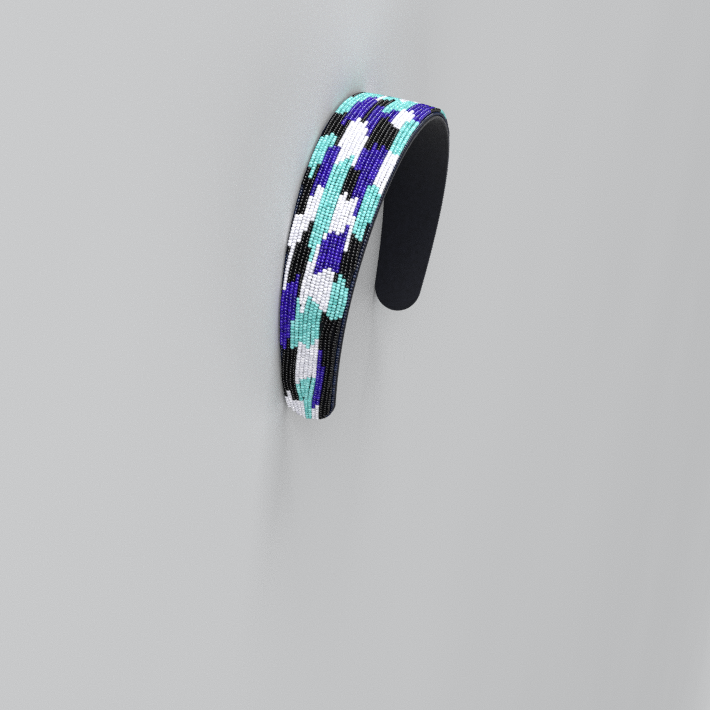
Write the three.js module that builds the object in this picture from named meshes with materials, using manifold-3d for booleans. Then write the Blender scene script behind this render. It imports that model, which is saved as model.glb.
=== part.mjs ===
// Beaded headband: an open, springy C-shaped band covered in dark cloth, its outer
// face paved with lengthwise strings of glass seed beads and its two long edges trimmed
// with one string of navy beads each.  Millimetres, +Z up.  The headband lies on its back
// edge: the crown points to -Y, the two tips to +Y, and the front edge is uppermost.
import * as THREE from 'three';
import * as BufferGeometryUtils from 'three/addons/utils/BufferGeometryUtils.js';
import Module from 'manifold-3d';

// ---- driving sizes -------------------------------------------------------------------
const HALF_LENGTH = 173.2;        // crown to tip, along the outer face
const CROWN_HALF_WIDTH = 19.5;    // middle of the band to its cloth rim, at the crown
const EDGE_LEAN = THREE.MathUtils.degToRad(3.8); // each long edge lies in a plane leaning this much
const TIP_ROUNDING = 12;          // length over which a tip is rounded
const TIP_EXPONENT = 2.1;         // 2 is a half ellipse, more is squarer
const TIP_CUT = 0.985;            // the rounding stops here, leaving a short flat end

// Bend of the outer face, from the crown (0) to the tip (1)
const BEND = [
  { at: 0,     radius: 80 },
  { at: 1 / 3, radius: 71 },
  { at: 2 / 3, radius: 81 },
  { at: 1,     radius: 750 },
];

// Layers, measured inwards from the top of the beads at the middle of the band
const LAYERS = {
  beadTop: 0, beadUnder: 1.9,     // paved face, one bead thick
  padTop: 2.2,                    // cloth pad under the beads
  rimTop: 4.1,                    // ledge that the edging string lies on
  lining: 5.4,                    // face towards the head
};
const EDGE_DROP = 0.6;            // how much lower the outer face is at its edges
const DROP_POWER = 3;

// Distance of each outline from the cloth rim
const INSETS = { rim: 0, edging: 0.95, beads: 1.45, pad: 2.1 };
const BEAD_ROUND = 0.75;          // rounding of the paved face's edges
const RIM_CHAMFER = 0.2;          // eased corner of the rim towards the head
const EDGING_RADIUS = 0.8;
const EDGING_DEPTH = 3.0;         // middle of the edging string below the bead tops
const EDGING_SIDES = 8;
const EDGING_GAP = 0.4;           // between the two edging strings at a tip

// Steps
const RUN_STEPS = 26;             // crown to where the tip starts to round
const TIP_STEPS = 6;
const FACE_STEPS = 8;             // across the face

// ---- centreline ----------------------------------------------------------------------
const CURVE_STEP = 0.2;
function bendAt(share) {
  const i = Math.max(1, BEND.findIndex((row) => row.at >= share - 1e-9));
  const a = BEND[i - 1], b = BEND[i];
  const t = (share - a.at) / (b.at - a.at);
  return THREE.MathUtils.lerp(1 / a.radius, 1 / b.radius, t);
}
const curve = [{ s: 0, side: 0, depth: 0, turn: 0 }];
for (let n = Math.round(HALF_LENGTH / CURVE_STEP), i = 0; i < n; i++) {
  const last = curve[i];
  const turn = last.turn + CURVE_STEP * bendAt(Math.min(1, (last.s + CURVE_STEP / 2) / HALF_LENGTH));
  const mid = (last.turn + turn) / 2;
  curve.push({
    s: last.s + CURVE_STEP,
    side: last.side + CURVE_STEP * Math.cos(mid),
    depth: last.depth + CURVE_STEP * Math.sin(mid),
    turn,
  });
}

// A point of the band before it is laid down: along (signed, from the crown), inwards below
// the bead tops, and across (back to front).  x is sideways, y is down from the crown.
function onBand(along, inwards) {
  const s = Math.min(Math.abs(along), HALF_LENGTH), f = s / CURVE_STEP;
  const i = Math.min(curve.length - 2, Math.floor(f)), t = f - i;
  const a = curve[i], b = curve[i + 1];
  const turn = THREE.MathUtils.lerp(a.turn, b.turn, t);
  const side = THREE.MathUtils.lerp(a.side, b.side, t) - inwards * Math.sin(turn);
  const depth = THREE.MathUtils.lerp(a.depth, b.depth, t) + inwards * Math.cos(turn);
  return { side: along < 0 ? -side : side, depth };
}

// Half width of an outline: straight leaning edges, rounded at the tip
function halfWidth(along, depth, inset) {
  const past = Math.abs(along) - (HALF_LENGTH - TIP_ROUNDING);
  const q = THREE.MathUtils.clamp(past / (TIP_ROUNDING - inset), 0, TIP_CUT);
  const round = Math.pow(1 - Math.pow(q, TIP_EXPONENT), 1 / TIP_EXPONENT);
  return (CROWN_HALF_WIDTH - depth * Math.tan(EDGE_LEAN) - inset) * round;
}

// Stations from one tip to the other for an outline with that inset
function stations(inset) {
  const half = [];
  const run = HALF_LENGTH - TIP_ROUNDING;
  for (let i = 0; i <= RUN_STEPS; i++) half.push((run * i) / RUN_STEPS);
  for (let i = 1; i <= TIP_STEPS; i++) {
    const q = TIP_CUT * Math.sin((Math.PI / 2) * (i / TIP_STEPS));
    half.push(run + (TIP_ROUNDING - inset) * q);
  }
  return [...half.slice(1).reverse().map((s) => -s), ...half];
}

const edgeDrop = (share) => EDGE_DROP * Math.pow(Math.min(1, Math.abs(share)), DROP_POWER);

// ---- loft ------------------------------------------------------------------------------
// section(along) gives the ring of [inwards, across] corners at a station, counter-clockwise
// seen from the tip on the +X side
function loft(alongs, section) {
  const positions = [], index = [];
  const rings = alongs.map((along) => section(along));
  const n = rings[0].length;
  rings.forEach((ring, k) => ring.forEach(([inwards, across]) => {
    const p = onBand(alongs[k], inwards);
    positions.push(p.side, p.depth, across);
  }));
  for (let k = 0; k + 1 < rings.length; k++) {
    for (let i = 0; i < n; i++) {
      const a = k * n + i, b = k * n + (i + 1) % n, c = a + n, d = b + n;
      index.push(a, c, b, b, c, d);
    }
  }
  const caps = (k, flip) => {
    const flat = rings[k].map(([inwards, across]) => new THREE.Vector2(across, -inwards));
    for (const [p, q, r] of THREE.ShapeUtils.triangulateShape(flat, [])) {
      index.push(...(flip ? [k * n + p, k * n + r, k * n + q] : [k * n + p, k * n + q, k * n + r]));
    }
  };
  const area = THREE.ShapeUtils.area(rings[0].map(([inwards, across]) => new THREE.Vector2(across, -inwards)));
  caps(0, area < 0);
  caps(rings.length - 1, area > 0);
  const geometry = new THREE.BufferGeometry();
  geometry.setAttribute('position', new THREE.Float32BufferAttribute(positions, 3));
  geometry.setIndex(index);
  return geometry;
}

// A layer whose outer face drops towards its edges
function crownedRow(along, inset, layer, ease) {
  const row = [];
  for (let i = 0; i <= FACE_STEPS; i++) {
    const t = -Math.cos((Math.PI * i) / FACE_STEPS) * 0.5 + ((2 * i) / FACE_STEPS - 1) * 0.5;
    const level = layer + edgeDrop(t);
    const w = halfWidth(along, onBand(along, level).depth, inset);
    row.push([level, t * Math.max(w - ease, w * 0.5)]);
  }
  return row;
}

// ---- pieces ------------------------------------------------------------------------------
const wasm = await Module();
wasm.setup();

function toSolid(geometry) {
  const bare = geometry.clone();
  bare.deleteAttribute('normal');
  bare.deleteAttribute('uv');
  const merged = BufferGeometryUtils.mergeVertices(bare, 1e-5);
  return new wasm.Manifold(new wasm.Mesh({
    numProp: 3,
    vertProperties: new Float32Array(merged.attributes.position.array),
    triVerts: new Uint32Array(merged.index.array),
  }));
}
function toGeometry(solid) {
  const mesh = solid.getMesh();
  const geometry = new THREE.BufferGeometry();
  geometry.setAttribute('position', new THREE.BufferAttribute(new Float32Array(mesh.vertProperties), 3));
  geometry.setIndex(new THREE.BufferAttribute(new Uint32Array(mesh.triVerts), 1));
  return geometry;
}

// Cloth-covered band: a rim slab as wide as the headband, with the crowned pad on top of it
function bandGeometry() {
  const rim = loft(stations(INSETS.rim), (along) => {
    const at = (inwards, ease) => {
      const w = halfWidth(along, onBand(along, inwards).depth, INSETS.rim);
      return w - ease;
    };
    const shoulder = LAYERS.lining - RIM_CHAMFER;
    return [
      [LAYERS.rimTop, -at(LAYERS.rimTop, 0)],
      [LAYERS.rimTop, at(LAYERS.rimTop, 0)],
      [shoulder, at(shoulder, 0)],
      [LAYERS.lining, at(LAYERS.lining, RIM_CHAMFER)],
      [LAYERS.lining, -at(LAYERS.lining, RIM_CHAMFER)],
      [shoulder, -at(shoulder, 0)],
    ];
  });
  const padFoot = (LAYERS.rimTop + LAYERS.lining) / 2;
  const pad = loft(stations(INSETS.pad), (along) => {
    const row = crownedRow(along, INSETS.pad, LAYERS.padTop, 0);
    return [...row, [padFoot, row[row.length - 1][1]], [padFoot, row[0][1]]];
  });
  return toGeometry(toSolid(rim).add(toSolid(pad)));
}

// Paved face: one layer of seed beads, strung lengthwise
function beadFaceGeometry() {
  return loft(stations(INSETS.beads), (along) => {
    const top = crownedRow(along, INSETS.beads, LAYERS.beadTop, BEAD_ROUND);
    const under = crownedRow(along, INSETS.beads, LAYERS.beadUnder, BEAD_ROUND).reverse();
    const middle = (LAYERS.beadTop + LAYERS.beadUnder) / 2 + EDGE_DROP;
    const w = halfWidth(along, onBand(along, middle).depth, INSETS.beads);
    return [...top, [middle, w], ...under, [middle, -w]];
  });
}

// Edging string: one tube along an edge, round each tip to its middle.  hand +1 is the front edge
class EdgePath extends THREE.Curve {
  constructor(hand) { super(); this.hand = hand; this.points = this.build(); }
  build() {
    const run = HALF_LENGTH - TIP_ROUNDING, reach = TIP_ROUNDING - INSETS.edging;
    const half = [];
    for (let i = 0; i <= RUN_STEPS; i++) {
      const s = (run * i) / RUN_STEPS;
      half.push([s, halfWidth(s, onBand(s, EDGING_DEPTH).depth, INSETS.edging)]);
    }
    const full = halfWidth(run, onBand(run, EDGING_DEPTH).depth, INSETS.edging);
    const stop = Math.acos(Math.pow((EDGING_GAP / 2) / full, TIP_EXPONENT / 2));
    for (let i = 1; i <= TIP_STEPS + 2; i++) {
      const a = (stop * i) / (TIP_STEPS + 2);
      const s = run + reach * Math.pow(Math.sin(a), 2 / TIP_EXPONENT);
      const here = CROWN_HALF_WIDTH - onBand(s, EDGING_DEPTH).depth * Math.tan(EDGE_LEAN) - INSETS.edging;
      half.push([s, here * Math.pow(Math.cos(a), 2 / TIP_EXPONENT)]);
    }
    return [...half.slice(1).reverse().map(([s, w]) => [-s, w]), ...half].map(([s, w]) => {
      const p = onBand(s, EDGING_DEPTH);
      return new THREE.Vector3(p.side, p.depth, this.hand * w);
    });
  }
  getPoint(t, target = new THREE.Vector3()) {
    const f = t * (this.points.length - 1), i = Math.min(this.points.length - 2, Math.floor(f));
    return target.copy(this.points[i]).lerp(this.points[i + 1], f - i);
  }
  getPointAt(t, target) { return this.getPoint(t, target); }
  getTangentAt(t, target = new THREE.Vector3()) {
    const h = 0.5 / (this.points.length - 1);
    const a = this.getPoint(Math.max(0, t - h)), b = this.getPoint(Math.min(1, t + h));
    return target.copy(b).sub(a).normalize();
  }
}
function edgingGeometry(hand) {
  const path = new EdgePath(hand);
  const ring = new THREE.Shape();
  for (let i = 0; i < EDGING_SIDES; i++) {
    const a = (2 * Math.PI * (i + 0.5)) / EDGING_SIDES;
    const x = EDGING_RADIUS * Math.cos(a), y = EDGING_RADIUS * Math.sin(a);
    if (i === 0) ring.moveTo(x, y); else ring.lineTo(x, y);
  }
  ring.closePath();
  return new THREE.ExtrudeGeometry(ring, { steps: path.points.length - 1, curveSegments: 1, extrudePath: path });
}

const looks = {
  cloth:  { color: 0x14161d, roughness: 0.9,  metalness: 0 },
  beads:  { color: 0x8fcfcf, roughness: 0.25, metalness: 0 },
  edging: { color: 0x1a2238, roughness: 0.3,  metalness: 0 },
};
function piece(name, geometry, look) {
  geometry.computeVertexNormals();
  const mesh = new THREE.Mesh(geometry, new THREE.MeshStandardMaterial(look));
  mesh.name = name;
  return mesh;
}

const lying = new THREE.Group();
lying.add(piece('band', bandGeometry(), looks.cloth));
lying.add(piece('bead_face', beadFaceGeometry(), looks.beads));
lying.add(piece('edge_beads_front', edgingGeometry(1), looks.edging));
lying.add(piece('edge_beads_back', edgingGeometry(-1), looks.edging));

// Turn the back edge's plane level and set the headband down on it, centred
lying.rotation.x = -EDGE_LEAN;
lying.position.z = CROWN_HALF_WIDTH * Math.cos(EDGE_LEAN);
lying.updateMatrixWorld(true);
const box = new THREE.Box3().setFromObject(lying, true);
lying.position.y = -(box.min.y + box.max.y) / 2;
lying.updateMatrixWorld(true);

const headband = new THREE.Group();
headband.name = 'beaded_headband';
headband.add(lying);
export default headband;
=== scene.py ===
import math

import bpy
import numpy as np
from mathutils import Matrix, Vector


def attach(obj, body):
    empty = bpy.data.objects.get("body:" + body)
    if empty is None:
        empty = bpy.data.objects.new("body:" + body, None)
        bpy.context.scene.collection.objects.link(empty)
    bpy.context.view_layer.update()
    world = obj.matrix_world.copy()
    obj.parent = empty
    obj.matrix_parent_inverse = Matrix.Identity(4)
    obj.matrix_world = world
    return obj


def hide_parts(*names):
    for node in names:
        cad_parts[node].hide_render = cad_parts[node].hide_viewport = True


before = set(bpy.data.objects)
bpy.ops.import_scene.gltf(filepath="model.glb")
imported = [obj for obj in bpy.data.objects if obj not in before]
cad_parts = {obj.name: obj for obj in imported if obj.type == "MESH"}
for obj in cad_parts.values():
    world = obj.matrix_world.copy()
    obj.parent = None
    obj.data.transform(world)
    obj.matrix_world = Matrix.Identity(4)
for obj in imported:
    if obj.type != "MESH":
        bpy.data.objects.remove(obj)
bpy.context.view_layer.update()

scene = bpy.context.scene
scene.view_settings.view_transform = "Standard"
scene.view_settings.look = "None"
scene.cycles.use_denoising = False      # each bead is only a few pixels long
scene.cycles.filter_width = 1.25
scene.cycles.caustics_reflective = scene.cycles.caustics_refractive = False
rng = np.random.default_rng(20)

# ---- sizes of the band, in millimetres ------------------------------------------------
HALF_LENGTH = 173.2                 # crown to tip, along the bead tops
BEND_AT = (0, 1 / 3, 2 / 3, 1)      # share of the half length
BEND_RADIUS = (80, 71, 81, 750)
CROWN_HALF_WIDTH = 19.5
LEAN = math.radians(3.8)            # of each long edge's plane
ROUNDING, EXPONENT = 12, 2.1        # of the tips
CROWN_Y = -63.1485                  # the crown's bead tops in the frame
INSET_EDGING, INSET_BEADS, INSET_PAD = 0.95, 1.45, 2.1
EDGE_DROP, DROP_POWER = 0.6, 3      # the face is this much lower at its edges
PAD_TOP, LEDGE, LINING = 1.98, 3.9, 5.4
EDGING_DEPTH = 3.0

# ---- the beads -------------------------------------------------------------------------
STRINGS = 20                        # lengthwise, counted from the back edge
PITCH = 1.40                        # from bead to bead along a string
# Middle of the strings across the band, and their spacing towards each edge, along the band
SPACING_AT = (0, 11, 30, 39, 48, 58, 68, 78, 87, 97)
MIDDLE = (0.30, 0.35, 0.40, 0.38, 0.35, 0.30, 0.25, 0.22, 0.20, 0.18)
SPACING_BACK = (1.85, 1.84, 1.83, 1.81, 1.775, 1.77, 1.77, 1.77, 1.775, 1.795)
SPACING_FRONT = (1.79, 1.79, 1.79, 1.77, 1.72, 1.69, 1.665, 1.66, 1.705, 1.745)
# Towards the tips the strings close in: each one's place across the band on the +X arm. The
# -X arm has the same, turned half round.
CLOSING_AT = (96, 104, 112, 120, 128, 136, 144, 152, 160, 168, 176)
CLOSING = {
    2: (-13.65, -13.46, -13.33, -12.77, -12.21, -12.25, -12.81, -12.92, -12.92, -12.92, -12.92),
    3: (-11.92, -11.88, -11.67, -11.29, -10.62, -10.71, -11.21, -11.08, -9.96, -8.50, -7.19),
    4: (-10.19, -10.15, -9.75, -9.46, -9.04, -9.08, -9.58, -9.54, -8.02, -6.62, -5.58),
    5: (-8.38, -8.38, -8.02, -7.60, -7.08, -7.29, -7.75, -7.71, -6.25, -4.96, -4.12),
    6: (-6.71, -6.77, -6.15, -5.73, -5.31, -5.75, -6.17, -5.96, -4.50, -3.42, -2.81),
    7: (-4.96, -5.25, -4.79, -4.58, -4.48, -4.58, -4.58, -4.58, -4.58, -4.58, -4.58),
    8: (-3.17, -3.38, -4.06, -3.79, -3.60, -3.96, -4.42, -3.96, -2.71, -1.92, -1.56),
    9: (-1.10, -1.35, -2.19, -2.04, -1.71, -2.08, -2.42, -1.88, -1.62, -1.46, -1.46),
    10: (0.73, 0.46, -0.29, -0.17, 0.10, -0.21, -0.62, -1.17, -1.25, -1.25, -1.25),
    11: (2.71, 2.56, 1.60, 1.73, 1.96, 1.69, 1.21, 0.04, -0.62, -0.42, -0.31),
    12: (4.58, 4.44, 3.58, 3.69, 3.81, 3.62, 3.25, 2.25, 1.29, 1.15, 1.15),
    13: (6.29, 6.29, 5.48, 4.90, 4.79, 4.79, 4.38, 3.33, 2.08, 1.88, 1.88),
    14: (7.98, 7.92, 7.19, 5.83, 5.69, 5.52, 5.04, 4.06, 3.02, 2.65, 2.60),
    15: (9.79, 9.79, 8.96, 7.56, 7.50, 7.40, 6.71, 5.67, 4.69, 4.21, 3.96),
    16: (11.65, 11.67, 10.67, 9.33, 9.23, 9.10, 8.38, 7.40, 6.42, 5.83, 5.42),
    17: (13.48, 13.44, 12.38, 11.38, 11.08, 10.88, 10.12, 9.12, 8.12, 7.46, 6.88),
    18: (15.21, 15.21, 14.17, 13.33, 13.02, 12.30, 11.30, 10.45, 9.60, 8.85, 8.30),
}
STOPS = {7: 110.0, 13: 116.0, 10: 150.5, 9: 158.5}   # strings that stop between two others
STARTS = {18: 148.0}                                 # a short string beside the front edge
END_ALLOWANCE = (0.85, 1.4)         # how far a string may crowd the edging, along the arm and near the tip
BEAD_SIDES = 10
# One bead, cut along its hole: (along the string, radius), as shares of half its pitch and
# of its outer radius
BEAD_PROFILE = (
    (-0.97, 0.38), (-0.84, 0.69), (-0.50, 0.92), (0.0, 1.0),
    (0.50, 0.92), (0.84, 0.69), (0.97, 0.38), (0.0, 0.28),
)
FULLER = {"white": 1.09, "turquoise": 1.03, "violet": 1.07}     # beads that are a little larger than the rest
SQUARER = {"white": 0.7, "turquoise": 0.88}         # beads with flatter sides: a power of the profile's radius
MOST_BEADS = 1200                   # in one mesh
EDGING_RADIUS = 0.79

# Colour patches of the face, read along each string as (string, from, to) in millimetres
# from the crown, + on the +X arm.  The rest is black.
FAR, TIP = -60, 180                 # a run that goes on to a ragged end, and one to the tip
PATCHES = (
    ("turquoise", ((0, -6.5, 13), (1, FAR, 14.5), (2, FAR, 12), (3, FAR, -1.5), (4, FAR, -12),
                   (5, FAR, -13.5), (7, FAR, -12), (8, FAR, -13.5), (9, FAR, -17.5))),
    ("white", ((6, FAR, -7.5), (10, FAR, -18.5), (11, FAR, -17.5))),
    ("violet", ((3, -1.5, 21.5), (4, -12, 18), (5, -13.5, 17.5), (6, -7.5, 14.5))),
    ("violet", ((8, -1, 16.5), (9, -1, 20.5), (10, 4.5, 26.5), (11, 4, 9.5), (12, -0.5, 8.5),
                (13, -0.5, 12.5))),
    ("turquoise", ((10, -18.5, 4.5), (11, -17.5, 4), (12, FAR, -0.5), (13, FAR, -0.5),
                   (14, FAR, -3.5))),
    ("violet", ((15, FAR, -2), (16, FAR, -5), (17, FAR, -0.5), (18, FAR, 5), (19, -14, 6))),
    ("white", ((14, -3.5, 13), (15, -2, 15), (16, -5, 16.5), (17, -0.5, 8.5))),
    ("turquoise", ((17, 8.5, 32), (18, 5, 33), (19, 6, 32.5))),
    ("white", ((5, 17.5, 36), (6, 14.5, 46), (7, 18.5, 43.5), (8, 16.5, 41), (9, 20.5, 39),
               (10, 26.5, 44))),
    ("turquoise", ((0, 31.5, 50), (1, 31, 55), (2, 28.5, 47), (3, 30, 37))),
    ("violet", ((3, 37, 62.5), (4, 36.5, 56.5), (5, 36, 57))),
    ("violet", ((11, 33, 45.5), (12, 34.5, 45.5), (13, 29, 59), (14, 32.5, 59), (15, 30, 67.5),
                (16, 31, 51))),
    ("white", ((16, 51, 52), (17, 32, 51.5), (18, 33, 51), (19, 32.5, 54.5))),
    ("turquoise", ((6, 46, 84.5), (7, 43.5, 90.5), (8, 41, 82), (9, 39, 76.5))),
    ("turquoise", ((16, 52, 74.5), (17, 51.5, 75), (18, 51, 76), (19, 54.5, 73))),
    ("white", ((1, 71, 86), (2, 71, 104), (3, 62.5, 83), (4, 56.5, 78), (5, 57, 73))),
    ("white", ((9, 76.5, 79.5), (10, 58.5, 76.5), (11, 57.5, 75.5), (12, 61.5, 76.5),
               (13, 59, 74.5), (14, 59, 71.5), (15, 67.5, 82))),
    ("violet", ((9, 79.5, 95), (10, 76.5, 93.5), (11, 75.5, 91), (12, 76.5, 90),
                (13, 74.5, 91.5), (14, 71.5, 91.5))),
    ("white", ((7, 90.5, 112.5), (8, 82, 112.5), (9, 95, 104), (10, 93.5, 105.5), (11, 91, 106.5),
               (12, 90, 109), (13, 91.5, 110))),
    ("turquoise", ((14, 95.5, 111), (15, 92.5, 112), (16, 93.5, 111.5), (17, 96.5, 111))),
    ("violet", ((2, 104, 134.5), (3, 101.5, 133), (4, 99.5, 127), (5, 96.5, 117.5))),
    ("turquoise", ((5, 117.5, 131.5), (6, 106.5, 129.5), (8, 112.5, 127), (9, 104, 126.5),
                   (10, 105.5, 129), (11, 106.5, 126), (12, 109, 122.5))),
    ("white", ((8, 127, 149.5), (9, 126.5, 147), (10, 129, 146), (11, 126, 144.5),
               (12, 122.5, 143.5))),
    ("violet", ((14, 128, 162.5), (15, 136, 160))),
    ("turquoise", ((8, 149.5, 160.5), (9, 147, TIP), (10, 146, TIP), (11, 144.5, TIP),
                   (12, 143.5, TIP))),
    ("white", ((3, 160.8, TIP), (4, 156.5, TIP), (5, 161.7, TIP), (6, 160.8, TIP), (8, 160.5, TIP))),
    ("white", ((14, 162.5, TIP), (15, 160, TIP))),
)
OTHER_ARM = 24                      # beyond this the -X arm has the same patches, turned half round

# ---- the band's own coordinates ----------------------------------------------------------
STEP = 0.2
steps = int(HALF_LENGTH / STEP + 0.5)
ALONG = np.arange(steps + 1) * STEP
middle = np.minimum(1, (np.arange(steps) + 0.5) * STEP / HALF_LENGTH)
TURN = np.concatenate([[0], np.cumsum(STEP * np.interp(middle, BEND_AT, [1 / r for r in BEND_RADIUS]))])
halfway = (TURN[:-1] + TURN[1:]) / 2
SIDE = np.concatenate([[0], np.cumsum(STEP * np.cos(halfway))])
DEPTH = np.concatenate([[0], np.cumsum(STEP * np.sin(halfway))])
DOWN = np.array([0, math.cos(LEAN), -math.sin(LEAN)])
FRONT = np.array([0, math.sin(LEAN), math.cos(LEAN)])


def depth_of(s, inwards):
    a = np.abs(s)
    return np.interp(a, ALONG, DEPTH) + inwards * np.cos(np.interp(a, ALONG, TURN))


def place(s, inwards, across):
    """Points of the band, in metres: along from the crown, inwards from the bead tops, across to the front."""
    s, inwards, across = np.broadcast_arrays(*(np.asarray(x, float) for x in (s, inwards, across)))
    a, sign = np.abs(s), np.where(s < 0, -1.0, 1.0)
    side = sign * (np.interp(a, ALONG, SIDE) - inwards * np.sin(np.interp(a, ALONG, TURN)))
    depth = depth_of(s, inwards)
    y = depth * DOWN[1] + across * FRONT[1] + CROWN_Y
    z = depth * DOWN[2] + across * FRONT[2] + CROWN_HALF_WIDTH * math.cos(LEAN)
    return np.stack([side, y, z], -1) / 1000


def directions(s):
    """Unit vectors along the band and inwards."""
    sign, turn = np.where(s < 0, -1.0, 1.0)[:, None], np.interp(np.abs(s), ALONG, TURN)[:, None]
    x = np.array([1.0, 0, 0])
    return np.cos(turn) * x + sign * np.sin(turn) * DOWN, -sign * np.sin(turn) * x + np.cos(turn) * DOWN


def half_width(s, depth, inset, cut=0.985):
    q = np.clip((np.abs(s) - (HALF_LENGTH - ROUNDING)) / (ROUNDING - inset), 0, cut)
    return (CROWN_HALF_WIDTH - depth * math.tan(LEAN) - inset) * (1 - q**EXPONENT) ** (1 / EXPONENT)


def unit(v):
    return v / np.linalg.norm(v, axis=-1, keepdims=True)


# ---- meshes ---------------------------------------------------------------------------------
def new_object(name, points, quads, uv=None, uv_name=None, tint=None, caps=()):
    """A smooth mesh from arrays. caps are single faces of any number of corners."""
    mesh = bpy.data.meshes.new(name)
    sizes = np.concatenate([np.full(len(quads), 4), [len(c) for c in caps]]).astype(int)
    corners = np.concatenate([np.ravel(quads), *[np.asarray(c) for c in caps]]).astype(np.int32)
    mesh.vertices.add(len(points))
    mesh.vertices.foreach_set("co", np.asarray(points, np.float32).ravel())
    mesh.loops.add(len(corners))
    mesh.loops.foreach_set("vertex_index", corners)
    mesh.polygons.add(len(sizes))
    mesh.polygons.foreach_set("loop_start", (np.cumsum(sizes) - sizes).astype(np.int32))
    mesh.update(calc_edges=True)
    if uv is not None:
        layer = mesh.uv_layers.new(name=uv_name)
        layer.data.foreach_set("uv", np.asarray(uv, np.float32).ravel())
    if tint is not None:
        layer = mesh.attributes.new("bead_tint", "FLOAT_COLOR", "POINT")
        layer.data.foreach_set("color", np.asarray(tint, np.float32).ravel())
    mesh.validate()
    mesh.shade_smooth()
    ob = bpy.data.objects.new(name, mesh)
    scene.collection.objects.link(ob)
    return ob


def template():
    """(vertices, quads, map) of one bead: along, inwards, across."""
    turn = 2 * math.pi * np.arange(BEAD_SIDES) / BEAD_SIDES
    n = len(BEAD_PROFILE)
    points = np.array([(a, r * math.cos(t), r * math.sin(t)) for t in turn for a, r in BEAD_PROFILE])
    quads, spots = [], []
    for k in range(BEAD_SIDES):
        for j in range(n):
            k1, j1 = (k + 1) % BEAD_SIDES, (j + 1) % n
            quads.append((k * n + j, k * n + j1, k1 * n + j1, k1 * n + j))
            spots += [(k, j), (k, j + 1), (k + 1, j + 1), (k + 1, j)]
    p = points[np.array(quads)]
    if np.einsum("ij,ij->i", p[:, 0], np.cross(p[:, 1], p[:, 2])).sum() < 0:
        quads = [q[::-1] for q in quads]
        spots = [x for i in range(0, len(spots), 4) for x in spots[i : i + 4][::-1]]
    return points, np.array(quads), np.array(spots, float) / (BEAD_SIDES, n)


BEAD_POINTS, BEAD_QUADS, BEAD_SPOTS = template()


def bead_mesh(name, beads, power=1.0):
    """One mesh of many beads. beads has rows centre(3), along(3), inwards(3), half length, radius."""
    centre, along, inwards = beads[:, 0:3], beads[:, 3:6], beads[:, 6:9]
    across = np.cross(along, inwards)
    half, radius = beads[:, 9:10, None], beads[:, 10:11, None]
    p = BEAD_POINTS.copy()
    out = np.hypot(p[:, 1], p[:, 2])
    p[:, 1:] *= np.where(out > 0.3, out ** (power - 1), 1)[:, None]
    points = (
        centre[:, None]
        + half * p[None, :, 0:1] * along[:, None]
        + radius * (p[None, :, 1:2] * inwards[:, None] + p[None, :, 2:3] * across[:, None])
    )
    count, each = len(beads), len(p)
    quads = (BEAD_QUADS[None] + (np.arange(count) * each)[:, None, None]).reshape(-1, 4)
    grid = math.ceil(math.sqrt(count))
    cell = np.stack([np.arange(count) % grid, np.arange(count) // grid], -1)
    uv = (cell[:, None] + 0.08 + 0.84 * BEAD_SPOTS[None]) / grid
    tint = np.repeat(np.column_stack([rng.random((count, 3)), np.ones(count)]), each, 0)
    return new_object(name, points.reshape(-1, 3), quads, uv.reshape(-1, 2), "OFBake", tint)


# ---- where each bead goes -----------------------------------------------------------------
def curve(s, at, values):
    """A smooth line through values at evenly spaced places."""
    place = np.clip((s - at[0]) / (at[1] - at[0]), 0, len(at) - 1.001)
    k = place.astype(int)
    t = place - k
    p = np.concatenate([[2 * values[0] - values[1]], values, [2 * values[-1] - values[-2]]])
    a, b, c, d = p[k], p[k + 1], p[k + 2], p[k + 3]
    return b + 0.5 * t * (c - a + t * (2 * a - 5 * b + 4 * c - d + t * (3 * (b - c) + d - a)))


GRID = np.arange(-690, 691) * 0.25
apart = np.abs(GRID)
PATHS = []
for i in range(STRINGS):
    spread = np.interp(apart, SPACING_AT, SPACING_BACK if i < STRINGS / 2 else SPACING_FRONT)
    path = np.interp(apart, SPACING_AT, MIDDLE) + (i - (STRINGS - 1) / 2) * spread
    for sign, row in ((1, i), (-1, STRINGS - 1 - i)):
        if row in CLOSING:
            share = np.where(GRID * sign > 0, np.clip((apart - 86) / 12, 0, 1), 0)
            path = path * (1 - share) + share * sign * curve(apart, CLOSING_AT, CLOSING[row])
    PATHS.append(path)


def across(i, s):
    """Place of a string across the band, + to the front."""
    return np.interp(s, GRID, PATHS[i])


def string_end(i, sign, start=0.0):
    """How far from the crown a string goes on the +X or the -X arm."""
    s = np.arange(start, HALF_LENGTH, 0.1)
    room = half_width(s, depth_of(s, 0.9), INSET_BEADS) + np.interp(s, (138, 148), END_ALLOWANCE)
    out = np.abs(across(i, sign * s)) + 0.9 > room
    end = s[np.argmax(out)] if out.any() else HALF_LENGTH - INSET_BEADS
    return min(end, STOPS.get(i if sign > 0 else STRINGS - 1 - i, HALF_LENGTH))


SPANS = [(i, -string_end(i, -1), string_end(i, 1)) for i in range(STRINGS)]
for row, start in STARTS.items():
    SPANS.append((row, start, string_end(row, 1, start)))
    SPANS.append((STRINGS - 1 - row, -string_end(STRINGS - 1 - row, -1, start), -start))

# Room for each string between its two neighbours
there = np.full((STRINGS, len(GRID)), np.nan)
for i, low, high in SPANS:
    inside = (GRID > low) & (GRID < high)
    there[i, inside] = PATHS[i][inside]
ROOM = []
for i in range(STRINGS):
    others = np.delete(there, i, 0) - PATHS[i]
    behind = np.where(others < 0, -others, 9.0).min(0)
    before = np.where(others > 0, others, 9.0).min(0)
    behind, before = np.where(behind > 2.4, before, behind), np.where(before > 2.4, behind, before)
    ROOM.append(np.clip((behind + before) / 2, 1.35, 1.96))


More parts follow.
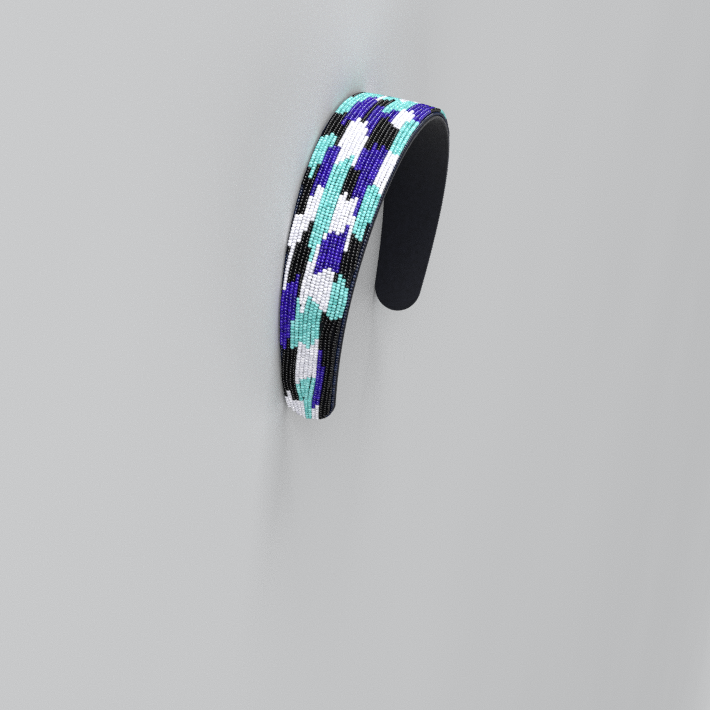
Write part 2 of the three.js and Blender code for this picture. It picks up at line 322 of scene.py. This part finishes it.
# Patches by string, in the order they are laid: the other arm first
ragged = OTHER_ARM + 12 * rng.random(STRINGS)
runs = [[] for _ in range(STRINGS)]
for colour, rows in PATCHES:
    for i, a, b in rows:
        other = STRINGS - 1 - i
        low, high = -b, min(-a, -ragged[other])
        if low < high:
            runs[other].append((low, high, colour))
for colour, rows in PATCHES:
    for i, a, b in rows:
        runs[i].append((-ragged[i] if a == FAR else a, b, colour))


def colour_at(i, s):
    found = "black"
    for low, high, colour in runs[i]:
        if low <= s < high:
            found = colour
    return found


beads = {name: [] for name in ("black", "white", "turquoise", "violet", "navy")}
threads = []
for i, low, high in SPANS:
    phase, sway, drift, slip = 2 * math.pi * rng.random(4)
    count = int(HALF_LENGTH / PITCH) + 2
    along = (np.arange(-count, count + 1) + 0.5 * (i % 2)) * PITCH * (1 + 0.012 * rng.standard_normal())
    along += PITCH * (0.14 * np.sin(along / 23 + drift) + 0.08 * np.sin(along / 9 + slip))
    along += 0.02 * PITCH * rng.standard_normal(len(along))
    places = along[(along > low + 0.45 * PITCH) & (along < high - 0.45 * PITCH)]
    for s in places:
        gap = float(np.interp(s, GRID, ROOM[i]))
        v = across(i, s)
        slope = across(i, s + 0.7) - across(i, s - 0.7)
        slope /= 1.4
        wave = 0.09 * math.sin(s / 6.5 + phase) + 0.05 * math.sin(s / 2.9 + sway)
        v += wave + 0.03 * rng.standard_normal()
        drop = EDGE_DROP * min(1, abs(v) / float(half_width(s, depth_of(s, 1), INSET_BEADS, 0.9))) ** DROP_POWER
        colour = colour_at(i, s)
        full = FULLER.get(colour, 1.0)
        radius = 0.5 * gap * full * (1.04 + 0.015 * rng.standard_normal())
        sink = 0.4 * max(0.0, 1 - min(s - low, high - s) / 3) ** 2      # the end beads are pulled down
        inwards = 0.95 + drop + sink + 0.03 * rng.standard_normal()
        t, n = (d[0] for d in directions(np.array([s])))
        centre = place(s, inwards, v)
        t = unit(t + slope * FRONT + 0.05 * rng.standard_normal() * FRONT + 0.045 * rng.standard_normal() * n)
        n = unit(n - np.dot(n, t) * t)
        beads[colour].append(
            [*centre, *t, *n, 0.5e-3 * PITCH * full * (0.985 + 0.015 * rng.standard_normal()), 1e-3 * radius]
        )
    threads.append((i, places))

# Edging: one string along each long edge and round half of each tip
for sign in (-1, 1):
    run = np.arange(0, HALF_LENGTH - ROUNDING, 0.5)
    tip = HALF_LENGTH - ROUNDING + (ROUNDING - INSET_EDGING) * np.sin(np.linspace(0, math.pi / 2, 60)) * 0.985
    half = np.concatenate([run, tip])
    width = half_width(half, depth_of(half, EDGING_DEPTH), INSET_EDGING)
    last = np.linspace(width[-1], 0.75, 12)[1:]
    half, width = np.concatenate([half, np.full(len(last), half[-1])]), np.concatenate([width, last])
    s = np.concatenate([-half[:0:-1], half])
    v = sign * np.concatenate([width[:0:-1], width])
    path = place(s, EDGING_DEPTH, v)
    run = np.concatenate([[0], np.cumsum(np.linalg.norm(np.diff(path, axis=0), axis=1))]) * 1000
    spots = np.cumsum(PITCH * (1 + 0.025 * rng.standard_normal(2 * int(run[-1] / PITCH)))) - 0.5 * PITCH
    spots = spots[spots < run[-1] - 0.4 * PITCH]

    def at(where):
        return np.stack([np.interp(where, run, path[:, k]) for k in range(3)], -1)

    t = unit(at(spots + 0.4) - at(spots - 0.4) + 1e-12)
    n = directions(np.interp(spots, run, s))[1]
    t = unit(t + 0.04 * rng.standard_normal((len(t), 1)) * n + 0.04 * rng.standard_normal((len(t), 1)) * np.cross(t, n))
    n = unit(n - (n * t).sum(1, keepdims=True) * t)
    size = 1 + 0.02 * rng.standard_normal((len(t), 2))
    rows = np.column_stack([at(spots), t, n, 0.5e-3 * PITCH * size[:, 0], 1e-3 * EDGING_RADIUS * size[:, 1]])
    beads["navy"] += [[*row, sign] for row in rows]

# ---- materials -----------------------------------------------------------------------------
def linear(r, g, b):
    return tuple(c / 12.92 if c <= 0.04045 else ((c + 0.055) / 1.055) ** 2.4 for c in (r / 255, g / 255, b / 255)) + (1.0,)


def new_material(name):
    m = bpy.data.materials.new(name)
    m.use_nodes = True
    nodes, links = m.node_tree.nodes, m.node_tree.links
    return m, nodes, links, next(n for n in nodes if n.type == "BSDF_PRINCIPLED")


def glass(name, dark, usual, light, rough, coat, under=0.0):
    """Opaque glass: each bead has its own tint and polish, with faint clouding inside a bead."""
    m, nodes, links, shader = new_material(name)
    own = nodes.new("ShaderNodeAttribute")
    own.attribute_name = "bead_tint"
    parts = nodes.new("ShaderNodeSeparateColor")
    links.new(own.outputs["Color"], parts.inputs["Color"])
    ramp = nodes.new("ShaderNodeValToRGB")
    ramp.color_ramp.elements[0].color, ramp.color_ramp.elements[1].color = linear(*dark), linear(*light)
    ramp.color_ramp.elements.new(0.5).color = linear(*usual)
    links.new(parts.outputs["Red"], ramp.inputs["Fac"])
    where = nodes.new("ShaderNodeTexCoord")
    cloud = nodes.new("ShaderNodeTexNoise")
    cloud.inputs["Scale"].default_value = 1300
    cloud.inputs["Detail"].default_value = 3
    links.new(where.outputs["Object"], cloud.inputs["Vector"])
    level = nodes.new("ShaderNodeMapRange")
    level.inputs["To Min"].default_value, level.inputs["To Max"].default_value = 0.86, 1.14
    links.new(cloud.outputs["Fac"], level.inputs["Value"])
    tone = nodes.new("ShaderNodeHueSaturation")
    links.new(level.outputs["Result"], tone.inputs["Value"])
    links.new(ramp.outputs["Color"], tone.inputs["Color"])
    links.new(tone.outputs["Color"], shader.inputs["Base Color"])
    polish = nodes.new("ShaderNodeMapRange")
    polish.inputs["To Min"].default_value, polish.inputs["To Max"].default_value = rough
    links.new(parts.outputs["Blue"], polish.inputs["Value"])
    links.new(polish.outputs["Result"], shader.inputs["Roughness"])
    bump = nodes.new("ShaderNodeBump")
    bump.inputs["Strength"].default_value = 0.05
    bump.inputs["Distance"].default_value = 0.0001
    links.new(cloud.outputs["Fac"], bump.inputs["Height"])
    links.new(bump.outputs["Normal"], shader.inputs["Normal"])
    shader.inputs["IOR"].default_value = 1.52
    shader.inputs["Coat Weight"].default_value = coat
    shader.inputs["Coat Roughness"].default_value = 0.05
    if under:
        shader.inputs["Subsurface Weight"].default_value = under
        shader.inputs["Subsurface Radius"].default_value = (0.0006, 0.0006, 0.0006)
        shader.inputs["Subsurface Scale"].default_value = 1.0
    return m


def cloth(name, dark, light, pitch):
    """Plain-woven cloth, mapped in millimetres along and across the band."""
    m, nodes, links, shader = new_material(name)
    where = nodes.new("ShaderNodeUVMap")
    where.uv_map = "weave"
    weave = []
    for direction in "XY":
        wave = nodes.new("ShaderNodeTexWave")
        wave.bands_direction = direction
        wave.inputs["Scale"].default_value = math.pi / 10 / pitch
        wave.inputs["Distortion"].default_value = 1.2
        wave.inputs["Detail"].default_value = 2
        wave.inputs["Detail Scale"].default_value = 2.5
        links.new(where.outputs["UV"], wave.inputs["Vector"])
        weave.append(wave)
    crossing = nodes.new("ShaderNodeMath")
    crossing.operation = "MULTIPLY"
    links.new(weave[0].outputs["Fac"], crossing.inputs[0])
    links.new(weave[1].outputs["Fac"], crossing.inputs[1])
    wear = nodes.new("ShaderNodeTexNoise")
    wear.inputs["Scale"].default_value = 0.35
    wear.inputs["Detail"].default_value = 6
    links.new(where.outputs["UV"], wear.inputs["Vector"])
    # Painted shade: the weave's high places are painted lighter and the gaps between the threads darker. The broad
    # noise added here is the cloth's own mottled tone.
    both = nodes.new("ShaderNodeMath")
    both.operation = "MULTIPLY_ADD"
    both.inputs[1].default_value = 0.6
    links.new(crossing.outputs["Value"], both.inputs[0])
    half = nodes.new("ShaderNodeMath")
    half.operation = "MULTIPLY"
    half.inputs[1].default_value = 0.5
    links.new(wear.outputs["Fac"], half.inputs[0])
    links.new(half.outputs["Value"], both.inputs[2])
    ramp = nodes.new("ShaderNodeValToRGB")
    ramp.color_ramp.elements[0].position, ramp.color_ramp.elements[1].position = 0.2, 0.75
    ramp.color_ramp.elements[0].color, ramp.color_ramp.elements[1].color = linear(*dark), linear(*light)
    links.new(both.outputs["Value"], ramp.inputs["Fac"])
    links.new(ramp.outputs["Color"], shader.inputs["Base Color"])
    rough = nodes.new("ShaderNodeMapRange")
    rough.inputs["To Min"].default_value, rough.inputs["To Max"].default_value = 0.92, 0.72
    links.new(crossing.outputs["Value"], rough.inputs["Value"])
    links.new(rough.outputs["Result"], shader.inputs["Roughness"])
    bump = nodes.new("ShaderNodeBump")
    bump.inputs["Strength"].default_value = 0.6
    bump.inputs["Distance"].default_value = 0.00012
    links.new(crossing.outputs["Value"], bump.inputs["Height"])
    links.new(bump.outputs["Normal"], shader.inputs["Normal"])
    shader.inputs["Specular IOR Level"].default_value = 0.25
    shader.inputs["Sheen Weight"].default_value = 0.15
    shader.inputs["Sheen Roughness"].default_value = 0.5
    return m


LOOKS = {
    "turquoise": glass("turquoise_glass", (104, 183, 180), (131, 205, 203), (154, 220, 218), (0.10, 0.20), 0.35, 0.4),
    "violet": glass("violet_glass", (32, 12, 118), (45, 19, 150), (62, 34, 171), (0.08, 0.16), 0.75),
    "white": glass("white_glass", (208, 208, 215), (222, 222, 229), (234, 233, 239), (0.16, 0.28), 0.25, 0.7),
    "black": glass("black_glass", (6, 6, 7), (11, 11, 13), (18, 18, 21), (0.05, 0.12), 0.4),
    "navy": glass("navy_glass", (10, 16, 36), (17, 26, 52), (30, 42, 72), (0.06, 0.14), 0.6),
}
CLOTH = cloth("band_cloth", (9, 10, 15), (30, 32, 44), 0.42)

# ---- bead pieces ---------------------------------------------------------------------------
for colour, rows in beads.items():
    if colour == "navy":
        groups = [("edge_string_front", [r[:-1] for r in rows if r[-1] > 0], "edge_beads_front"),
                  ("edge_string_back", [r[:-1] for r in rows if r[-1] < 0], "edge_beads_back")]
    else:
        rows = sorted(rows, key=lambda r: r[0])
        share = math.ceil(len(rows) / max(1, math.ceil(len(rows) / MOST_BEADS)))
        parts = [rows[k : k + share] for k in range(0, len(rows), share)]
        groups = [(f"beads_{colour}" + (f"_{k + 1}" if len(parts) > 1 else ""), part, "bead_face")
                  for k, part in enumerate(parts)]
    for name, part, node in groups:
        ob = bead_mesh(name, np.array(part), SQUARER.get(colour, 1.0))
        ob.data.materials.append(LOOKS[colour])
        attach(ob, "root")
        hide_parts(node)


# ---- cloth band ----------------------------------------------------------------------------
def loft(name, stations, section):
    """A closed strip along the band. section(s) gives its ring of (inwards, across) corners."""
    rings = [np.array(section(s)) for s in stations]
    n = len(rings[0])
    points = np.concatenate([place(s, ring[:, 0], ring[:, 1]) for s, ring in zip(stations, rings)])
    quads, uv = [], []
    girth = [np.concatenate([[0], np.cumsum(np.linalg.norm(np.diff(np.vstack([r, r[:1]]), axis=0), axis=1))]) for r in rings]
    for k in range(len(rings) - 1):
        for i in range(n):
            j = (i + 1) % n
            quads.append((k * n + i, k * n + j, (k + 1) * n + j, (k + 1) * n + i))
            uv += [(stations[k], girth[k][i]), (stations[k], girth[k][i + 1]),
                   (stations[k + 1], girth[k + 1][i + 1]), (stations[k + 1], girth[k + 1][i])]
    ends = [list(range(n))[::-1], [(len(rings) - 1) * n + i for i in range(n)]]
    p = points[np.array(quads)]
    if np.einsum("ij,ij->i", p[:, 0], np.cross(p[:, 1] - p[:, 0], p[:, 2] - p[:, 0])).sum() < 0:
        quads = [q[::-1] for q in quads]
        uv = [x for i in range(0, len(uv), 4) for x in uv[i : i + 4][::-1]]
        ends = [e[::-1] for e in ends]
    for end, k in zip(ends, (0, -1)):
        uv += [(stations[k] + rings[k][c % n][0], rings[k][c % n][1]) for c in end]
    ob = new_object(name, points, quads, uv, "weave", caps=ends)
    ob.data.materials.append(CLOTH)
    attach(ob, "root")
    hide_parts("band")
    return ob


def stations(inset):
    run = np.linspace(0, HALF_LENGTH - ROUNDING, 150)
    tip = HALF_LENGTH - ROUNDING + (ROUNDING - inset) * np.sin(np.linspace(0, 1, 22)[1:] * math.asin(0.9985))
    half = np.concatenate([run, tip])
    return np.concatenate([-half[:0:-1], half])


def rim_section(s):
    def w(inwards, ease):
        whole = float(half_width(s, depth_of(s, inwards), 0, 0.9985))
        return max(whole - ease, whole * (1 - ease / 4))

    side = [
        (LEDGE, 2.6), (LEDGE, 0.6), (LEDGE + 0.06, 0.32), (LEDGE + 0.22, 0.12), (LEDGE + 0.5, 0.01),
        (4.75, 0.0), (5.05, 0.03), (5.25, 0.14), (5.36, 0.34), (LINING, 0.65), (LINING, 1.15),
        (LINING - 0.1, 1.32), (LINING - 0.02, 1.5), (LINING + 0.08, 1.8), (LINING + 0.1, 2.4),
    ]
    top = [(LEDGE, t * w(LEDGE, 2.6)) for t in np.linspace(-1, 1, 9)[1:-1]]
    under = [(LINING + 0.1, t * w(LINING, 2.4)) for t in np.linspace(1, -1, 13)[1:-1]]
    front = [(inwards, w(inwards, ease)) for inwards, ease in side]
    back = [(inwards, -w(inwards, ease)) for inwards, ease in side[::-1]]
    return top + front + under + back


def pad_section(s):
    width = float(half_width(s, depth_of(s, PAD_TOP), INSET_PAD, 0.9985))
    top = []
    for t in np.linspace(-1, 1, 25):
        t = math.sin(t * math.pi / 2) * 0.5 + t * 0.5
        top.append((PAD_TOP + EDGE_DROP * abs(t) ** DROP_POWER, t * width * 0.985))
    edge = [(PAD_TOP + EDGE_DROP + 0.12, width), (LEDGE - 0.5, width), (LEDGE + 0.1, width + 0.02)]
    under = [(LEDGE + 0.1, t * width) for t in np.linspace(1, -1, 9)[1:-1]]
    return top + edge + under + [(n, -v) for n, v in edge[::-1]]


loft("band_cover", stations(0), rim_section)
loft("bead_backing", stations(INSET_PAD), pad_section)


# Threads through the beads, going down into the cloth past each end bead
def tube(path, inwards, radius, sides=6):
    t = np.gradient(path, axis=0)
    t = unit(t)
    n = unit(inwards - (inwards * t).sum(1, keepdims=True) * t)
    b = np.cross(t, n)
    turn = 2 * math.pi * np.arange(sides) / sides
    ring = n[:, None] * np.cos(turn)[None, :, None] + b[:, None] * np.sin(turn)[None, :, None]
    points = (path[:, None] + radius * ring).reshape(-1, 3)
    quads = [(k * sides + i, k * sides + (i + 1) % sides, (k + 1) * sides + (i + 1) % sides, (k + 1) * sides + i)
             for k in range(len(path) - 1) for i in range(sides)]
    ends = [list(range(sides))[::-1], [(len(path) - 1) * sides + i for i in range(sides)]]
    return points, quads, ends


points, quads, caps, uv, caps_uv, count = [], [], [], [], [], 0
for i, spots in threads:
    s = np.arange(spots[0] - 0.5, spots[-1] + 0.5, 2.8)
    s = np.concatenate([[s[0] - 0.55], s, [spots[-1] + 0.6, spots[-1] + 1.1]])
    v = across(i, s)
    drop = EDGE_DROP * np.minimum(1, np.abs(v) / half_width(s, depth_of(s, 1), INSET_BEADS, 0.9)) ** DROP_POWER
    level = 0.95 + drop
    level[0] += 1.2
    level[-1] += 1.2
    p, q, ends = tube(place(s, level, v), directions(s)[1], 0.00021)
    points.append(p)
    quads += [[c + count for c in face] for face in q]
    caps += [[c + count for c in face] for face in ends]
    uv += [(s[c // 6], (c % 6) * 0.2) for face in q for c in face]
    caps_uv += [(s[c // 6], (c % 6) * 0.2) for face in ends for c in face]
    count += len(p)
strands = new_object("bead_threads", np.concatenate(points), np.array(quads), uv + caps_uv, "weave", caps=caps)
strands.data.materials.append(CLOTH)
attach(strands, "root")

# ---- floor, light and camera --------------------------------------------------------------
bpy.ops.mesh.primitive_plane_add(size=120, location=(0, 0, 0))
floor = bpy.context.object
floor.name = "floor"
m, nodes, links, shader = new_material("floor_paper")
where = nodes.new("ShaderNodeTexCoord")
grain = nodes.new("ShaderNodeTexNoise")
grain.inputs["Scale"].default_value = 3
grain.inputs["Detail"].default_value = 4
links.new(where.outputs["Object"], grain.inputs["Vector"])
ramp = nodes.new("ShaderNodeValToRGB")
ramp.color_ramp.elements[0].color, ramp.color_ramp.elements[1].color = linear(201, 202, 203), linear(207, 208, 209)
links.new(grain.outputs["Fac"], ramp.inputs["Fac"])
links.new(ramp.outputs["Color"], shader.inputs["Base Color"])
shader.inputs["Roughness"].default_value = 0.9
shader.inputs["Specular IOR Level"].default_value = 0.1
floor.data.materials.append(m)
floor.visible_glossy = False

world = bpy.data.worlds.new("studio")
scene.world = world
world.use_nodes = True
nodes, links = world.node_tree.nodes, world.node_tree.links
back = next(n for n in nodes if n.type == "BACKGROUND")
where = nodes.new("ShaderNodeTexCoord")
split = nodes.new("ShaderNodeSeparateXYZ")
links.new(where.outputs["Generated"], split.inputs["Vector"])
above = nodes.new("ShaderNodeMath")
above.operation = "MAXIMUM"
above.inputs[1].default_value = 0.0
links.new(split.outputs["Z"], above.inputs[0])
rise = nodes.new("ShaderNodeMath")
rise.operation = "POWER"
rise.inputs[1].default_value = 4.0
links.new(above.outputs["Value"], rise.inputs[0])
level = nodes.new("ShaderNodeMath")
level.operation = "MULTIPLY_ADD"
level.inputs[1].default_value, level.inputs[2].default_value = 1.30, 0.03
links.new(rise.outputs["Value"], level.inputs[0])
path = nodes.new("ShaderNodeLightPath")
seen = nodes.new("ShaderNodeMix")                       # what shows past the floor is pale too
seen.inputs["B"].default_value = 0.58
links.new(path.outputs["Is Camera Ray"], seen.inputs["Factor"])
links.new(level.outputs["Value"], seen.inputs["A"])
links.new(seen.outputs["Result"], back.inputs["Strength"])
back.inputs["Color"].default_value = (1.0, 1.0, 1.0, 1.0)


def soft_box(name, position, target, size, power):
    light = bpy.data.lights.new(name, "AREA")
    light.shape, light.size, light.size_y, light.energy = "RECTANGLE", size[0], size[1], power
    ob = bpy.data.objects.new(name, light)
    ob.location = position
    ob.rotation_euler = (Vector(target) - Vector(position)).to_track_quat("-Z", "Y").to_euler()
    scene.collection.objects.link(ob)
    return ob


soft_box("key", (0.00, -6.40, 1.36), (0.03, -0.02, 0.02), (3.5, 2.4), 425)
soft_box("side", (4.84, -3.85, 1.54), (0.03, -0.02, 0.02), (2.9, 2.4), 203)
low = soft_box("low", (5.70, 1.65, 1.76), (0.03, -0.02, 0.02), (2.4, 2.2), 108)
behind = soft_box("behind", (-7.50, 5.00, 2.60), (0.00, 0.00, 0.02), (4.4, 3.4), 300)
low.visible_glossy = behind.visible_glossy = False      # these two fill, and leave no highlights

CAMERA_AT = Vector((0.718683, -0.325738, 0.243086))
RIGHT, UP, BACK = Vector((-0.32627, -0.04027, 0.94442)), Vector((-0.41942, -0.8892, -0.18281)), Vector((0.84713, -0.45575, 0.27323))
camera = bpy.data.cameras.new("camera")
camera.sensor_width, camera.lens = 36.0, 1800 / 710 * 36.0
camera.clip_start, camera.clip_end = 0.01, 200
eye = bpy.data.objects.new("camera", camera)
scene.collection.objects.link(eye)
turn = Matrix((RIGHT, UP, BACK)).transposed().to_quaternion()
eye.matrix_world = Matrix.Translation(CAMERA_AT) @ turn.to_matrix().to_4x4()
scene.camera = eye

bpy.context.view_layer.update()
